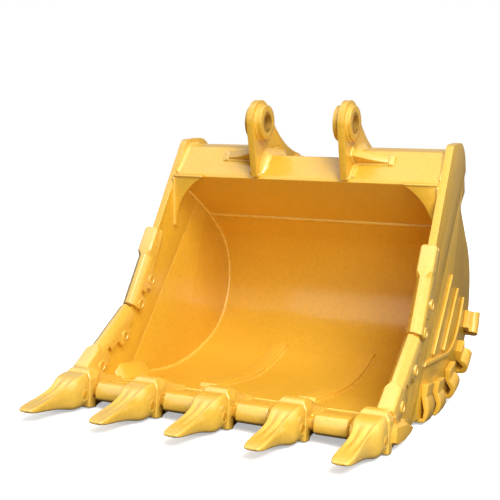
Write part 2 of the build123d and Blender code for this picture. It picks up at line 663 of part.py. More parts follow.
def assembly():
    parts = {
        "lip_plate": lip_plate(),
        "floor_wrapper": floor_wrapper(),
        "back_plate": back_plate(),
        "torque_tube_front_plate": torque_tube_front_plate(),
        "torque_tube_rear_plate": torque_tube_rear_plate(),
        "torque_tube_saddle": saddle_plate(),
        "lip_corner_gussets": both_sides(lip_corner_gusset()),
        "floor_wear_straps": floor_wear_straps(),
        "inner_floor_straps": both_sides(floor_strap(STRAP_X)),
        "pin_bushes": both_sides(Pos(EAR_CENTRE, 0, 0) * (bush(STICK_PIN) + bush(LINK_PIN))),
        "side_cutter_pins": both_sides(on_right_side(side_cutter_pins())),
    }
    pairs = side_pairs()
    for name, shape in pairs.items():
        parts[name + "_right"] = shape
        parts[name + "_left"] = mirrored(shape)
    corner = pairs["side_bar"] + pairs["side_cutter_lower"] + pairs["lip_corner_shroud"]
    corner = both_sides(corner + on_right_side(side_cutter_pins()))
    retainers = Part()
    for number, x in enumerate(tooth_positions(), 1):
        body = adapter_at(x) - lip_plate()
        parts["adapter_" + str(number)] = largest(body - corner)
        parts["tooth_" + str(number)] = place_tooth_part(tooth(), x)
        retainers += retainer_at(x)
    parts["tooth_retainers"] = retainers
    for number in range(1, TOOTH_COUNT):
        x = (number - TOOTH_COUNT / 2) * TOOTH_PITCH
        parts["lip_shroud_" + str(number)] = lip_shroud_at(x)
    return parts


os.makedirs("parts", exist_ok=True)
for node, solid in assembly().items():
    export_step(Rot(LEAN, 0, 0) * solid, "parts/" + node + ".step")
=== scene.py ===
import bpy
import bmesh
import json
from math import cos, sin, tan, pi, radians, degrees, atan2, floor as whole
from mathutils import Matrix, Vector, noise


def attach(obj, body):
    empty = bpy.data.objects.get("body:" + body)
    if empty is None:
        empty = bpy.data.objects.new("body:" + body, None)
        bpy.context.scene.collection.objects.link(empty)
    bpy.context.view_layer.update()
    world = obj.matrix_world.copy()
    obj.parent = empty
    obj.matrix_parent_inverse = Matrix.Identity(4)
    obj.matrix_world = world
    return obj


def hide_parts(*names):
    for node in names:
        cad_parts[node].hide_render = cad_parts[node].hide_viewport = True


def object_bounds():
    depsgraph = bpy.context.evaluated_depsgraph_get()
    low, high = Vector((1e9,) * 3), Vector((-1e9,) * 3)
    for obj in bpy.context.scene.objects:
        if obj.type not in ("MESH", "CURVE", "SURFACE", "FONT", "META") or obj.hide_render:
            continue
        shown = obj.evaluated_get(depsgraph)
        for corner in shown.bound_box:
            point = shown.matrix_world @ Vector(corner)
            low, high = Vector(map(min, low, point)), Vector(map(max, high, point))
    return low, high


# Everything below is written in the bucket's own attitude, in millimetres, with the stick pin at the
# origin, and stood on the ground by place().
LEAN = radians(5.57)
HALF_INNER = 785
TAPER = tan(radians(0.86))
TAPER_START = -700
BAR_THICK = 40
SIDE_THICK = 32
SHELL_THICK = 25
LIP_SLOPE = 9
LIP_TOP_FRONT = (-1060, -1292)
LIP_THICK = 56
LIP_SETBACK = 28
LIP_DEPTH = 330
FLAT_LENGTH = 824
FLOOR_RADIUS = 1235
FLOOR_SWEEP = 29.5
HEEL_RADIUS = 395
HEEL_SWEEP = 118.4
BACK_RUN = 170
BACK_HEADING = 147.2
BACK_LENGTH = 490
TUBE_TOP_FRONT = (118, -150)
TUBE_REAR_LINE = [TUBE_TOP_FRONT, (245, -138), (345, -205), (392, -360), (315, -520)]
SADDLE = [(64, -186), (352, -214)]
GUSSET_FACES = (-63, -36)
GUSSET_TOP = -310
GUSSET_FOOT = -600
GUSSET_TIP = 590
EAR_CENTRE = 263
EAR_THICK = 36
LINK_PIN = (520, -308)
BOSS_RADIUS = 95
TOOTH_PITCH = 386
TOOTH_SLOPE = 2.85
TOOTH_POSITIONS = [(i - 2) * TOOTH_PITCH for i in range(5)]
STRAP_X = 278
STRAP_HALF = 47.5
BAR_SEAM = [(-722, -1518), (560, -108)]
FRONT_KINK = (-520, -988)
SIDE_BAR_TOP = (100, -110)
CUTTER_NOSE = 45
CUTTER_INNER = 25
CUTTER_OUTER = 18
SIDES = (("right", 1), ("left", -1))

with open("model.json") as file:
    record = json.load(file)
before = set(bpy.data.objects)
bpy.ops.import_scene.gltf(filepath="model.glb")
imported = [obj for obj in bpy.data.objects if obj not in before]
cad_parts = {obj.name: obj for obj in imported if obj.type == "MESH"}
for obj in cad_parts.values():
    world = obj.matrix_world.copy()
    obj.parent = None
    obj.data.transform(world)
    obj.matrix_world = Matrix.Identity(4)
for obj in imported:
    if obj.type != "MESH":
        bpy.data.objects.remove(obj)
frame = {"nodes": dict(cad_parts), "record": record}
cad_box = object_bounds()
scene = bpy.context.scene


# ---- places ------------------------------------------------------------------------------------

def place(x, y, z):
    """A point of the bucket's own attitude, in millimetres, as a point of the frame in metres."""
    c, s = cos(LEAN), sin(LEAN)
    return Vector((x, y * c - z * s, y * s + z * c)) / 1000


def heading(angle):
    return cos(radians(angle)), sin(radians(angle))


def step(point, angle, length):
    c, s = heading(angle)
    return point[0] + length * c, point[1] + length * s


def side_x(y):
    """Distance of a side's inner face from the middle at that y."""
    return HALF_INNER - TAPER * (y - TAPER_START)


def on_lip(x, y, z, slope=LIP_SLOPE):
    """A point of the lip's own frame: origin at the datum, mid-thickness, -y forwards."""
    y0, z0 = step(LIP_TOP_FRONT, -LIP_SLOPE - 90, LIP_THICK / 2)
    c, s = heading(slope)
    return x, y0 + y * c + z * s, z0 - y * s + z * c


LIP_REAR = step(LIP_TOP_FRONT, -LIP_SLOPE, LIP_DEPTH)
LIP_CORNER = step(LIP_TOP_FRONT, -LIP_SLOPE, 8)
# Each side cutter's edge from top to foot, how far down it from the kink the cutter starts, and its
# pins as (down the cutter, behind its nose)
CUTTER_PINS = [(SIDE_BAR_TOP, FRONT_KINK, -468, [(282, 104), (442, 78)]),
               (FRONT_KINK, LIP_CORNER, 44, [(130, 108), (380, 94)])]
FLAT_END = step(LIP_TOP_FRONT, -LIP_SLOPE, FLAT_LENGTH)
FLOOR_CENTRE = step(FLAT_END, 90 - LIP_SLOPE, FLOOR_RADIUS)
HEEL_START_HEADING = FLOOR_SWEEP - LIP_SLOPE
HEEL_END_HEADING = HEEL_START_HEADING + HEEL_SWEEP
HEEL_START = step(FLOOR_CENTRE, HEEL_START_HEADING - 90, FLOOR_RADIUS)
HEEL_CENTRE = step(HEEL_START, HEEL_START_HEADING + 90, HEEL_RADIUS)
HEEL_END = step(HEEL_CENTRE, HEEL_END_HEADING - 90, HEEL_RADIUS)
BACK_SEAM = step(HEEL_END, HEEL_END_HEADING, BACK_RUN)
BACK_TOP = step(BACK_SEAM, BACK_HEADING, BACK_LENGTH)
BACK_TOP_OUTER = step(BACK_TOP, BACK_HEADING - 90, SHELL_THICK)


def arc(centre, radius, first, last, steps):
    angles = [first + (last - first) * i / steps for i in range(steps + 1)]
    return [step(centre, angle, radius) for angle in angles]


def shell_line(out):
    """(y, z) points along the shell, `out` outside its inner face, from the lip's rear to the tube."""
    def shift(point, angle):
        return step(point, angle - 90, out)

    line = [shift(LIP_REAR, -LIP_SLOPE)]
    line += arc(FLOOR_CENTRE, FLOOR_RADIUS + out, -90 - LIP_SLOPE, HEEL_START_HEADING - 90, 16)
    line += arc(HEEL_CENTRE, HEEL_RADIUS + out, HEEL_START_HEADING - 90, HEEL_END_HEADING - 90, 30)[1:]
    return line + [shift(BACK_SEAM, HEEL_END_HEADING), shift(BACK_TOP, BACK_HEADING)]


# ---- materials ---------------------------------------------------------------------------------

def node(tree, kind, x, y, **values):
    n = tree.nodes.new(kind)
    n.location = (x, y)
    for key, value in values.items():
        setattr(n, key, value)
    return n


def noise_node(tree, coords, scale, detail, x, y, distortion=0.0):
    n = node(tree, "ShaderNodeTexNoise", x, y)
    n.inputs["Scale"].default_value = scale
    n.inputs["Detail"].default_value = detail
    n.inputs["Distortion"].default_value = distortion
    tree.links.new(coords, n.inputs["Vector"])
    return n


def ramp(tree, source, stops, x, y):
    n = node(tree, "ShaderNodeValToRGB", x, y)
    n.color_ramp.elements[0].position, n.color_ramp.elements[0].color = stops[0]
    n.color_ramp.elements[1].position, n.color_ramp.elements[1].color = stops[-1]
    for position, colour in stops[1:-1]:
        n.color_ramp.elements.new(position).color = colour
    tree.links.new(source, n.inputs["Fac"])
    return n


def paint(name, deep, light, rough, grain, grain_scale, wave=0.25, coat=0.45):
    """Golden enamel: slow colour drift, uneven gloss, orange peel, and the metal's own grain under it."""
    material = bpy.data.materials.new(name)
    material.use_nodes = True
    tree = material.node_tree
    shader = tree.nodes["Principled BSDF"]
    coords = node(tree, "ShaderNodeTexCoord", -1400, 0).outputs["Object"]
    drift = noise_node(tree, coords, 1.7, 2.0, -1150, 300, 0.3)
    colour = ramp(tree, drift.outputs["Fac"], [(0.32, (*deep, 1)), (0.68, (*light, 1))], -900, 300)
    speck = noise_node(tree, coords, 46.0, 6.0, -1150, 80)
    shade = ramp(tree, speck.outputs["Fac"], [(0.35, (0.93, 0.92, 0.90, 1)), (0.6, (1, 1, 1, 1))], -900, 80)
    mix = node(tree, "ShaderNodeMix", -600, 250, data_type="RGBA", blend_type="MULTIPLY")
    mix.inputs["Factor"].default_value = 1.0
    tree.links.new(colour.outputs["Color"], mix.inputs["A"])
    tree.links.new(shade.outputs["Color"], mix.inputs["B"])
    tree.links.new(mix.outputs["Result"], shader.inputs["Base Color"])
    gloss = noise_node(tree, coords, 9.0, 5.0, -1150, -160, 1.2)
    span = node(tree, "ShaderNodeMapRange", -600, -120)
    span.inputs["From Min"].default_value = 0.3
    span.inputs["From Max"].default_value = 0.7
    span.inputs["To Min"].default_value = rough - 0.06
    span.inputs["To Max"].default_value = rough + 0.08
    tree.links.new(gloss.outputs["Fac"], span.inputs["Value"])
    tree.links.new(span.outputs["Result"], shader.inputs["Roughness"])
    peel = noise_node(tree, coords, 420.0, 2.0, -1150, -380)
    rough_grain = noise_node(tree, coords, grain_scale, 6.0, -1150, -600)
    slow = noise_node(tree, coords, 5.0, 2.0, -1150, -820)
    normal = None
    for index, (source, strength, distance) in enumerate(
            ((slow, wave, 0.004), (rough_grain, grain, 0.0012), (peel, 0.10, 0.0004))):
        bump = node(tree, "ShaderNodeBump", -600 + 200 * index, -420)
        bump.inputs["Strength"].default_value = strength
        bump.inputs["Distance"].default_value = distance
        tree.links.new(source.outputs["Fac"], bump.inputs["Height"])
        if normal:
            tree.links.new(normal, bump.inputs["Normal"])
        normal = bump.outputs["Normal"]
    tree.links.new(normal, shader.inputs["Normal"])
    shader.inputs["Specular IOR Level"].default_value = 0.5
    shader.inputs["Coat Weight"].default_value = coat
    shader.inputs["Coat Roughness"].default_value = 0.16
    return material


def bare_steel(name):
    """Turned bush bore with overspray: dark bronze, partly the bush's own finish and partly painted shade
    for the deep bore, fine rings along its axis.
    """
    material = bpy.data.materials.new(name)
    material.use_nodes = True
    tree = material.node_tree
    shader = tree.nodes["Principled BSDF"]
    coords = node(tree, "ShaderNodeTexCoord", -1200, 0).outputs["Object"]
    spray = noise_node(tree, coords, 38.0, 6.0, -900, 250)
    # painted shade: the bore's colour is held dark to stand for the shade inside it, over the bush's own
    # bronze finish
    colour = ramp(tree, spray.outputs["Fac"],
                  [(0.3, (0.40, 0.23, 0.04, 1)), (0.5, (0.50, 0.28, 0.04, 1)), (0.7, (0.56, 0.32, 0.05, 1))],
                  -600, 250)
    tree.links.new(colour.outputs["Color"], shader.inputs["Base Color"])
    rings = node(tree, "ShaderNodeTexWave", -900, -200, wave_type="BANDS", bands_direction="X")
    rings.inputs["Scale"].default_value = 160.0
    rings.inputs["Distortion"].default_value = 0.4
    tree.links.new(coords, rings.inputs["Vector"])
    span = node(tree, "ShaderNodeMapRange", -600, -100)
    span.inputs["To Min"].default_value = 0.32
    span.inputs["To Max"].default_value = 0.5
    tree.links.new(rings.outputs["Fac"], span.inputs["Value"])
    tree.links.new(span.outputs["Result"], shader.inputs["Roughness"])
    bump = node(tree, "ShaderNodeBump", -600, -400)
    bump.inputs["Strength"].default_value = 0.25
    bump.inputs["Distance"].default_value = 0.0004
    tree.links.new(rings.outputs["Fac"], bump.inputs["Height"])
    tree.links.new(bump.outputs["Normal"], shader.inputs["Normal"])
    shader.inputs["Metallic"].default_value = 0.45
    return material


GOLD = (0.735, 0.415, 0.030)
PALE = (0.775, 0.445, 0.036)
CAST_GOLD = (0.79, 0.475, 0.060)
CAST_PALE = (0.83, 0.515, 0.078)
MATERIALS = {
    "plate_paint": paint("plate_enamel", GOLD, PALE, 0.36, 0.08, 60.0, 0.12),
    "ear_paint": paint("ear_enamel", GOLD, PALE, 0.38, 0.14, 70.0, 0.12),
    "wear_paint": paint("wear_enamel", (0.77, 0.425, 0.036), (0.81, 0.455, 0.044), 0.38, 0.30, 90.0, 0.10),
    "cast_paint": paint("cast_enamel", CAST_GOLD, CAST_PALE, 0.27, 0.40, 110.0, 0.20, 0.7),
    "tooth_paint": paint("tooth_enamel", CAST_GOLD, CAST_PALE, 0.24, 0.32, 95.0, 0.20, 0.8),
    "pin_paint": paint("pin_enamel", (0.62, 0.30, 0.02), (0.78, 0.39, 0.03), 0.42, 0.30, 120.0, 0.05),
    # the bush bores' dark colour is partly painted shade
    "bush_steel": bare_steel("bush_bore_painted_shade"),
    "weld": paint("weld_enamel", (0.80, 0.480, 0.060), (0.84, 0.520, 0.080), 0.28, 0.30, 150.0, 0.05, 0.5),
}
SLOT_OF = {part["node"]: part["material_slot"] for part in frame["record"]["subparts"]}

for name, piece in frame["nodes"].items():
    material = MATERIALS[SLOT_OF[name]]
    for slot in piece.material_slots:
        slot.material = material
    if not piece.material_slots:
        piece.data.materials.append(material)


# ---- mesh helpers ------------------------------------------------------------------------------

def finished(name, mesh, slot, replaced=(), material=None, sharp=35):
    """A finished mesh as a piece of the bucket."""
    mesh.materials.clear()
    mesh.materials.append(MATERIALS[material or slot])
    mesh.shade_smooth()
    mesh.set_sharp_from_angle(angle=radians(sharp))
    piece = bpy.data.objects.new(name, mesh)
    scene.collection.objects.link(piece)
    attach(piece, "root")
    if replaced:
        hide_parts(*replaced)
    return piece


def modified(mesh, *modifiers):
    """The mesh after the given modifiers, each (type, {setting: value})."""
    holder = bpy.data.objects.new("holder", mesh)
    scene.collection.objects.link(holder)
    for kind, settings in modifiers:
        modifier = holder.modifiers.new(kind, kind)
        for key, value in settings.items():
            setattr(modifier, key, value)
    graph = bpy.context.evaluated_depsgraph_get()
    result = bpy.data.meshes.new_from_object(holder.evaluated_get(graph))
    bpy.data.objects.remove(holder)
    return result


def cad_mesh(name):
    """A copy of a CAD node's mesh, with its flat faces whole."""
    mesh = frame["nodes"][name].data.copy()
    bm = bmesh.new()
    bm.from_mesh(mesh)
    bmesh.ops.remove_doubles(bm, verts=bm.verts, dist=2e-5)
    bmesh.ops.dissolve_limit(bm, angle_limit=radians(0.7), verts=bm.verts, edges=bm.edges)
    bm.to_mesh(mesh)
    bm.free()
    return mesh


def plate(name, width, segments=2):
    """A flame-cut plate: the CAD shape with its corners eased by `width` millimetres."""
    settings = {"width": width / 1000, "segments": segments, "limit_method": "ANGLE",
                "angle_limit": radians(30), "miter_outer": "MITER_ARC"}
    mesh = modified(cad_mesh(name), ("BEVEL", settings))
    return finished(name + "_plate", mesh, SLOT_OF[name], (name,))


def casting(name, voxel, rounds, nodes=()):
    """A casting or dressed weldment: the CAD shapes as one, with every edge softened."""
    nodes = nodes or (name,)
    bm = bmesh.new()
    for part in nodes:
        bm.from_mesh(frame["nodes"][part].data)
    mesh = bpy.data.meshes.new(name)
    bm.to_mesh(mesh)
    bm.free()
    mesh = modified(mesh, ("REMESH", {"mode": "VOXEL", "voxel_size": voxel / 1000}),
                    ("SMOOTH", {"factor": 0.5, "iterations": rounds}))
    return finished(name + "_casting", mesh, SLOT_OF[nodes[0]], nodes, sharp=180)


# ---- weld beads --------------------------------------------------------------------------------

class Weld:
    """Rippled beads gathered in one mesh."""

    PITCH = 9.0
    STEP = 3.0
    RING = 8

    def __init__(self, ripple=0.13):
        self.vertices, self.faces = [], []
        self.ripple = ripple

    def bead(self, points, radius, closed=False):
        line = [Vector(p) for p in points]
        if closed:
            line.append(line[0])
        lengths = [(b - a).length for a, b in zip(line, line[1:])]
        total = sum(lengths)
        count = max(3, int(total / self.STEP))
        spots, index, gone = [], 0, 0.0
        for i in range(count + (0 if closed else 1)):
            s = total * i / count
            while index < len(lengths) - 1 and s > gone + lengths[index]:
                gone += lengths[index]
                index += 1
            t = (s - gone) / max(lengths[index], 1e-6)
            spots.append((s, line[index].lerp(line[index + 1], min(1.0, t))))
        first = len(self.vertices)
        side = None
        for i, (s, spot) in enumerate(spots):
            before = spots[i - 1][1] if i or closed else spots[0][1]
            after = spots[(i + 1) % len(spots)][1] if i < len(spots) - 1 or closed else spots[-1][1]
            along = (after - before).normalized()
            if side is None:
                side = along.orthogonal().normalized()
            side = (side - along * side.dot(along)).normalized()
            other = along.cross(side)
            phase = s / self.PITCH
            ripple = 1 + self.ripple * (phase - whole(phase) - 0.75)
            wander = 1 + 0.8 * self.ripple * noise.noise(spot * 0.02)
            end = 1.0
            if not closed:
                end = min(1.0, 0.35 + min(s, total - s) / (radius * 1.2))
            r = radius * ripple * wander * end
            for k in range(self.RING):
                a = 2 * pi * k / self.RING
                self.vertices.append(spot + (side * cos(a) + other * sin(a)) * r)
        rings = len(spots)
        for i in range(rings if closed else rings - 1):
            a, b = first + i * self.RING, first + (i + 1) % rings * self.RING
            for k in range(self.RING):
                n = (k + 1) % self.RING
                self.faces.append((a + k, a + n, b + n, b + k))
        if not closed:
            self.faces.append(tuple(first + k for k in reversed(range(self.RING))))
            last = first + (rings - 1) * self.RING
            self.faces.append(tuple(last + k for k in range(self.RING)))

    def both(self, points, radius, closed=False):
        """The bead and its mirror image."""
        self.bead(points, radius, closed)
        self.bead([(-x, y, z) for x, y, z in points], radius, closed)

    def finish(self, name):
        mesh = bpy.data.meshes.new(name)
        mesh.from_pydata([place(*v) for v in self.vertices], [], self.faces)
        return finished(name, mesh, "plate_paint", material="weld", sharp=70)


def against_side(line, inset=0):
    """Points on the right side's inner face, `inset` towards the middle."""
    return [(side_x(y) - inset, y, z) for y, z in line]


def circle(x, centre, radius, steps=48):
    return [(x, *step(centre, 360 * i / steps, radius)) for i in range(steps)]


def between(first, last, share):
    return tuple(a + (b - a) * share for a, b in zip(first, last))


def dense(line, gap=12):
    """The same polyline with points no further apart than `gap`."""
    points = []
    for a, b in zip(line, line[1:]):
        count = max(1, int((Vector(b) - Vector(a)).length / gap))
        points += [between(a, b, i / count) for i in range(count)]
    return points + [line[-1]]


def smoothed(line, rounds=6):
    """A polyline with its corners eased, its ends kept."""
    points = dense(line)
    for _ in range(rounds):
        inner = [tuple((a + 2 * b + c) / 4 for a, b, c in zip(*trio))
                 for trio in zip(points, points[1:], points[2:])]
        points = [points[0], *inner, points[-1]]
    return points


def fillet(name, line, wall, across, leg, foot):
    """A dressed fillet weld: hollow face between the wall at x = `wall` and a surface along `line`."""
    points = smoothed(line, 4)
    vertices, faces = [], []
    for i, (y, z) in enumerate(points):
        before, after = points[max(0, i - 1)], points[min(len(points) - 1, i + 1)]
        along = Vector((after[0] - before[0], after[1] - before[1])).normalized()
        out = Vector((-along.y, along.x))
        reach = min(1.0, 0.55 + 0.15 * min(i, len(points) - 1 - i))
        ripple = 1 + 0.035 * sin(i * 1.9) + 0.05 * noise.noise(Vector((y, z, wall)) * 0.015)
        up, over = leg * reach * ripple, foot * reach * ripple
        section = [(-3, -3), (-3, up), (1, up)]
        section += [(over * (1 - cos(t)) + 1, up * (1 - sin(t)) + 1)
                    for t in (pi * k / 16 for k in range(1, 8))]
        section += [(over, 1), (over, -3)]
        for s, n in section:
            vertices.append((wall + across * s, y + out.x * n, z + out.y * n))
    ring = len(section)
    for i in range(len(points) - 1):
        for k in range(ring):
            n = (k + 1) % ring
            faces.append((i * ring + k, i * ring + n, (i + 1) * ring + n, (i + 1) * ring + k))
    faces += [tuple(range(ring)), tuple((len(points) - 1) * ring + k for k in reversed(range(ring)))]
    mesh = bpy.data.meshes.new(name)
    mesh.from_pydata([place(*v) for v in vertices], [], faces)
    bm = bmesh.new()
    bm.from_mesh(mesh)
    bmesh.ops.recalc_face_normals(bm, faces=bm.faces)
    bm.to_mesh(mesh)
    bm.free()
    return finished(name, mesh, "plate_paint", material="weld", sharp=60)


def body_welds():
    w = Weld()
    w.both(against_side(shell_line(0), 2), 12)
    w.both(against_side([LIP_TOP_FRONT, LIP_REAR], 2), 9)
    w.bead([(-770, *BACK_SEAM), (770, *BACK_SEAM)], 12)
    w.bead([(-784, *LIP_REAR), (784, *LIP_REAR)], 6)
    seam = [step(BAR_SEAM[0], 47.7, 165), step(BAR_SEAM[0], 47.7, 1450)]
    w.both(against_side(seam, -3.5), 5)
    outer = [(side_x(y) + SIDE_THICK - 1, y, z) for y, z in
             (step(BAR_SEAM[0], 47.7, 150), step(BAR_SEAM[0], 47.7, 1585))]
    w.both(outer, 6)
    w.both(against_side(shell_line(SHELL_THICK), -2), 9)
    low_rear = step(LIP_REAR, -LIP_SLOPE - 90, LIP_THICK - 22)
    w.bead([(-784, *low_rear), (784, *low_rear)], 9)
    return w.finish("body_welds")


def tube_welds():
    w = Weld()
    ends = [(side_x(y) - 1, y, z) for y, z in smoothed([BACK_TOP_OUTER, *TUBE_REAR_LINE], 2)]
    w.bead(ends, 8)
    w.bead([(-765, *TUBE_REAR_LINE[-1]), (765, *TUBE_REAR_LINE[-1])], 12)
    wall = side_x(-62)
    for y in GUSSET_FACES:
        w.both([(wall - 1, y, GUSSET_TOP - 8), (wall - 1, y, GUSSET_FOOT)], 9)
    w.both([(GUSSET_TIP, GUSSET_FACES[0] - 1, GUSSET_TOP), (wall, GUSSET_FACES[0] - 1, GUSSET_TOP)], 6)
    return w.finish("tube_welds")


EAR_IN = EAR_CENTRE - EAR_THICK / 2
EAR_OUT = EAR_CENTRE + EAR_THICK / 2
BRACE_FOOT = between(BACK_TOP_OUTER, TUBE_TOP_FRONT, 0.53)
BRACE_THICK = 45
BRACE_TILT = 38


def on_brace(x, out, up):
    """A point of the right brace: x from the middle, out from the tube's face, up through the wing."""
    c, s = cos(radians(BRACE_TILT)), sin(radians(BRACE_TILT))
    return x, BRACE_FOOT[0] - out * c + up * s, BRACE_FOOT[1] + out * s + up * c


def up_the_face(share):
    """The point that share of the way up the tube's face."""
    return between(BACK_TOP_OUTER, TUBE_TOP_FRONT, share)


def ear_welds():
    w = Weld()
    foot = step(BACK_TOP_OUTER, 45, 3)
    down_the_back = [p for p in shell_line(SHELL_THICK) if p[0] > 345 and p[1] > -850][::-1]
    for x, out in ((EAR_IN, -1), (EAR_OUT, 1)):
        w.both([(x + 2 * out, y, z) for y, z in (BACK_TOP_OUTER, up_the_face(0.3))], 11)
        w.both([(x + 2 * out, y, z) for y, z in [TUBE_REAR_LINE[-1], *down_the_back]], 12)
    low = (BACK_TOP_OUTER[0] - 3, BACK_TOP_OUTER[1] - 1)
    w.both([(EAR_IN - 8, *foot), (EAR_IN + 3, *low), (EAR_OUT - 3, *low), (EAR_OUT + 8, *foot)], 10)
    for shift in (4, 15, 26):
        w.both([(EAR_OUT + shift, y - 2, z + 2) for y, z in (up_the_face(0.02), up_the_face(0.5))],
               8 - shift / 13)
    tip = EAR_OUT + 200
    for shift in (2, 11, 20):
        w.both([on_brace(tip + shift, 4 - shift / 10, -12), on_brace(tip + shift, 10 - shift / 5, 20),
                on_brace(tip + shift, 2, BRACE_THICK + 14)], 11 - shift / 5)
    w.both([on_brace(EAR_OUT, 0, -4), on_brace(tip + 6, 0, -4)], 9)
    w.both([on_brace(EAR_OUT + 6, 40, BRACE_THICK), on_brace(EAR_OUT + 90, -2, BRACE_THICK + 5),
            on_brace(tip, -12, BRACE_THICK + 2)], 8)
    w.both([on_brace(EAR_OUT + 2, 2, -3), on_brace(EAR_OUT + 2, 76, -2),
            on_brace(EAR_OUT + 2, 77, BRACE_THICK + 3), on_brace(EAR_OUT + 2, -20, BRACE_THICK + 6)], 10)
    return w.finish("ear_welds")


def dressed_welds():
    """Dressed beads round the bosses."""
    w = Weld(0.02)
    for x, out in ((EAR_IN, -1), (EAR_OUT, 1)):
        for pin in ((0, 0), LINK_PIN):
            w.both(circle(x + 2 * out, pin, BOSS_RADIUS + 2), 7, True)
    return w.finish("dressed_welds")


def lip_welds():
    w = Weld()
    top, low = LIP_THICK / 2 + 1, -LIP_THICK / 2 - 1
    for x in TOOTH_POSITIONS:
        for z, rear in ((top, 338), (low, 250)):
            line = [(64, 90), (58, 130), (48, rear - 6), (40, rear + 1), (-40, rear + 1), (-48, rear - 6),
                    (-58, 130), (-64, 90)]
            w.bead([on_lip(x + dx, y, z) for dx, y in line], 8)
    for x in (-579, -193, 193, 579):
        w.bead([on_lip(x + dx, LIP_SETBACK + 152, top) for dx in (-78, 78)], 6)
    straps = [step(LIP_REAR, -LIP_SLOPE, 140), FLAT_END]
    straps += arc(FLOOR_CENTRE, FLOOR_RADIUS, -90 - LIP_SLOPE, HEEL_START_HEADING - 92, 16)[1:]
    for edge in (-STRAP_HALF - 1, STRAP_HALF + 1):
        w.both([(STRAP_X + edge, y, z) for y, z in straps], 5)
    w.both([(STRAP_X - STRAP_HALF, *straps[0]), (STRAP_X + STRAP_HALF, *straps[0])], 5)
    return w.finish("lip_welds")


body_welds()
tube_welds()
ear_welds()
dressed_welds()
lip_welds()
for side, way in SIDES:
    fillet("stick_side_fillet_" + side, [up_the_face(0.06), *SADDLE], EAR_IN * way, -way, 44, 40)
    fillet("outer_fillet_" + side, [up_the_face(0.5), *TUBE_REAR_LINE], EAR_OUT * way, way, 34, 30)
fillet("left_tube_fillet", [BACK_TOP_OUTER, TUBE_TOP_FRONT, TUBE_REAR_LINE[1]], -side_x(40), 1, 24, 24)

# ---- plates and castings -----------------------------------------------------------------------

plate("lip_plate", 3)
casting("torque_tube", 7, 3, ("torque_tube_front_plate", "torque_tube_rear_plate", "torque_tube_saddle",
                             "back_plate"))
for side, _ in SIDES:
    plate("side_bar_" + side, 5, 3)
    plate("side_plate_" + side, 4)
    plate("ear_" + side, 7, 3)
    plate("ear_brace_" + side, 5, 3)
    plate("corner_gusset_" + side, 3)
    plate("side_wear_bars_" + side, 3, 2)
    plate("side_wear_arc_" + side, 3, 2)
    plate("stick_pin_boss_" + side, 5, 3)
    plate("link_pin_boss_" + side, 5, 3)
    plate("lip_corner_shroud_" + side, 5, 3)
    plate("side_cutter_upper_" + side, 4, 3)
    plate("side_cutter_lower_" + side, 4, 3)
    for number in range(1, 6):
        plate("heel_shroud_" + str(number) + "_" + side, 4, 3)
plate("inner_floor_straps", 4, 3)
plate("floor_wear_straps", 4, 3)
plate("lip_corner_gussets", 5, 3)
for number in range(1, 6):
    casting("adapter_" + str(number), 4.5, 5)
for number in range(1, 5):
    plate("lip_shroud_" + str(number), 9, 4)

# ---- teeth -------------------------------------------------------------------------------------

# y, top, bottom, half width of the top, widest half, half width of the bottom, depth of the flutes
TOOTH_RINGS = [
    (-17, 97, -65, 61, 75, 60, 0),
    (-20, 98, -67, 62, 76, 61, 0),
    (-60, 95, -68, 62, 77, 62, 0),
    (-92, 89, -68, 61, 76, 62, 0),
    (-114, 81, -66, 55, 72, 60, 3),
    (-140, 69, -60, 47, 61, 54, 10),
    (-175, 56, -51, 41, 52, 47, 14),
    (-215, 44, -42, 39, 47, 43, 12),
    (-260, 34, -35, 40, 46, 42, 7),
    (-310, 26, -28, 41, 46, 41, 3),
    (-360, 19, -22, 42, 47, 40, 0),
    (-398, 13, -16, 40, 44, 38, 0),
    (-420, 8, -10, 34, 37, 33, 0),
    (-429, 3, -4, 26, 29, 26, 0),
]
TOOTH_OFFSET = (-1064.4, -1319.7)


def on_tooth(middle, x, y, z):
    c, s = cos(radians(TOOTH_SLOPE)), sin(radians(TOOTH_SLOPE))
    return middle + x, TOOTH_OFFSET[0] + y * c + z * s, TOOTH_OFFSET[1] - y * s + z * c


def tooth_ring(top, bottom, half_top, half, half_bottom, flute):
    """Half a ring from the bottom's middle to the top's middle."""
    return [(0, bottom), (0.6 * half_bottom, bottom), (half_bottom, bottom + 4), (half, 0.5 * bottom),
            (half, 0), (half - 0.25 * flute, 0.45 * top),
            (half - 0.25 * (half - half_top) - 0.45 * flute, 0.74 * top), (half_top, top),
            (0.82 * half_top, top + 1), (0.5 * half_top, top - flute),
            (0.2 * half_top, top - 0.2 * flute), (0, top)]


def tooth(number, middle):
    bm = bmesh.new()
    rings = []
    for y, *shape in TOOTH_RINGS:
        half = tooth_ring(*shape)
        outline = half + [(-x, z) for x, z in half[-2:0:-1]]
        rings.append([bm.verts.new(place(*on_tooth(middle, x, y, z))) for x, z in outline])
    for a, b in zip(rings, rings[1:]):
        for k in range(len(a)):
            n = (k + 1) % len(a)
            bm.faces.new((a[k], a[n], b[n], b[k]))
    for ring in (rings[0], rings[-1]):
        centre = sum((v.co for v in ring), Vector()) / len(ring)
        inner = [bm.verts.new(v.co.lerp(centre, 0.12)) for v in ring]
        middle_vert = bm.verts.new(centre)
        for k in range(len(ring)):
            n = (k + 1) % len(ring)
            bm.faces.new((ring[k], ring[n], inner[n], inner[k]))
            bm.faces.new((inner[k], inner[n], middle_vert))
    bmesh.ops.recalc_face_normals(bm, faces=bm.faces)
    mesh = bpy.data.meshes.new("tooth")
    bm.to_mesh(mesh)
    bm.free()
    mesh = modified(mesh, ("SUBSURF", {"levels": 2, "render_levels": 2}))
    name = "tooth_" + str(number)
    return finished(name + "_casting", mesh, "tooth_paint", (name,), sharp=180)


def as_it_is(x, y, z):
    return x, y, z


